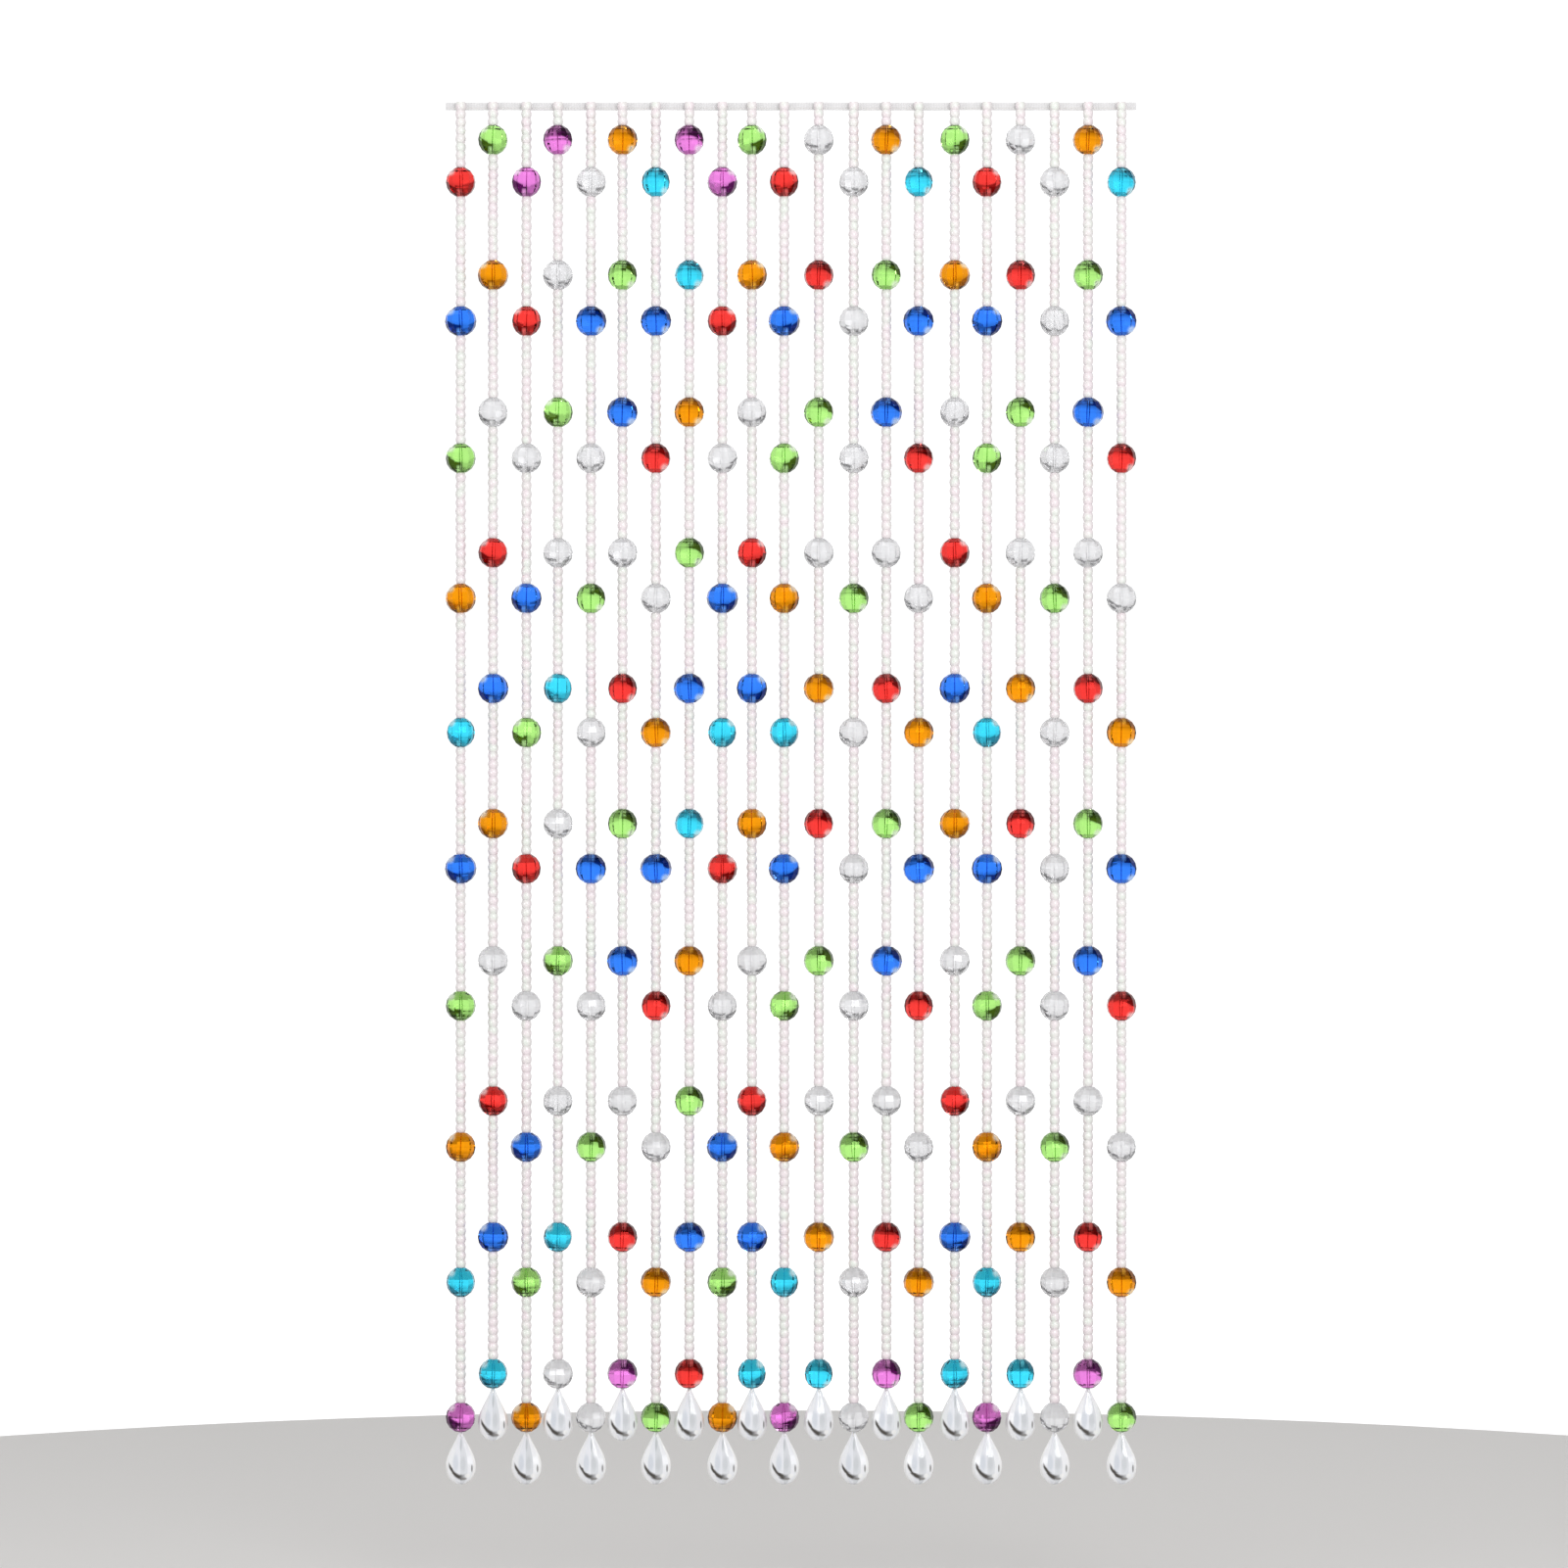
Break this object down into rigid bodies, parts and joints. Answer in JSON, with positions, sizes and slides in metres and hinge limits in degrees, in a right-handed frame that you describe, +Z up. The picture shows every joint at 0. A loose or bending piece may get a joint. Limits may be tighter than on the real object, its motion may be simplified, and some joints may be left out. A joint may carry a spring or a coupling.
{
  "type": "bead curtain",
  "caption": "Door curtain of bead strings: small pearly beads and large coloured cut balls on threads, each with a clear teardrop pendant, hanging from a narrow heading tape.",
  "frame": {"origin": "middle of the heading tape's top edge", "axes": "+Z up, the strands hang along -Z; +X along the width, to the right as seen from the front; the front faces -Y"},
  "size_m": [0.9, 0.0346, 1.7991],
  "materials": {
    "pearl_white": "pearly white moulded plastic with a faint pink and green sheen",
    "clear_acrylic": "clear cut acrylic, polished facets",
    "red_acrylic": "red see-through cut acrylic, polished facets",
    "amber_acrylic": "amber see-through cut acrylic, polished facets",
    "green_acrylic": "light green see-through cut acrylic, polished facets",
    "blue_acrylic": "deep blue see-through cut acrylic, polished facets",
    "aqua_acrylic": "aqua see-through cut acrylic, polished facets",
    "violet_acrylic": "pink-violet see-through cut acrylic, polished facets",
    "heading_tape": "white woven tape with one stitched line",
    "thread": "white twisted thread"
  },
  "bodies": {
    "root": {"curtain_strands": "pearl_white", "drop_01": "clear_acrylic", "drop_02": "clear_acrylic", "drop_03": "clear_acrylic", "drop_04": "clear_acrylic", "drop_05": "clear_acrylic", "drop_06": "clear_acrylic", "drop_07": "clear_acrylic", "drop_08": "clear_acrylic", "drop_09": "clear_acrylic", "drop_10": "clear_acrylic", "drop_11": "clear_acrylic", "drop_12": "clear_acrylic", "drop_13": "clear_acrylic", "drop_14": "clear_acrylic", "drop_15": "clear_acrylic", "drop_16": "clear_acrylic", "drop_17": "clear_acrylic", "drop_18": "clear_acrylic", "drop_19": "clear_acrylic", "drop_20": "clear_acrylic", "drop_21": "clear_acrylic"}
  },
  "joints": []
}
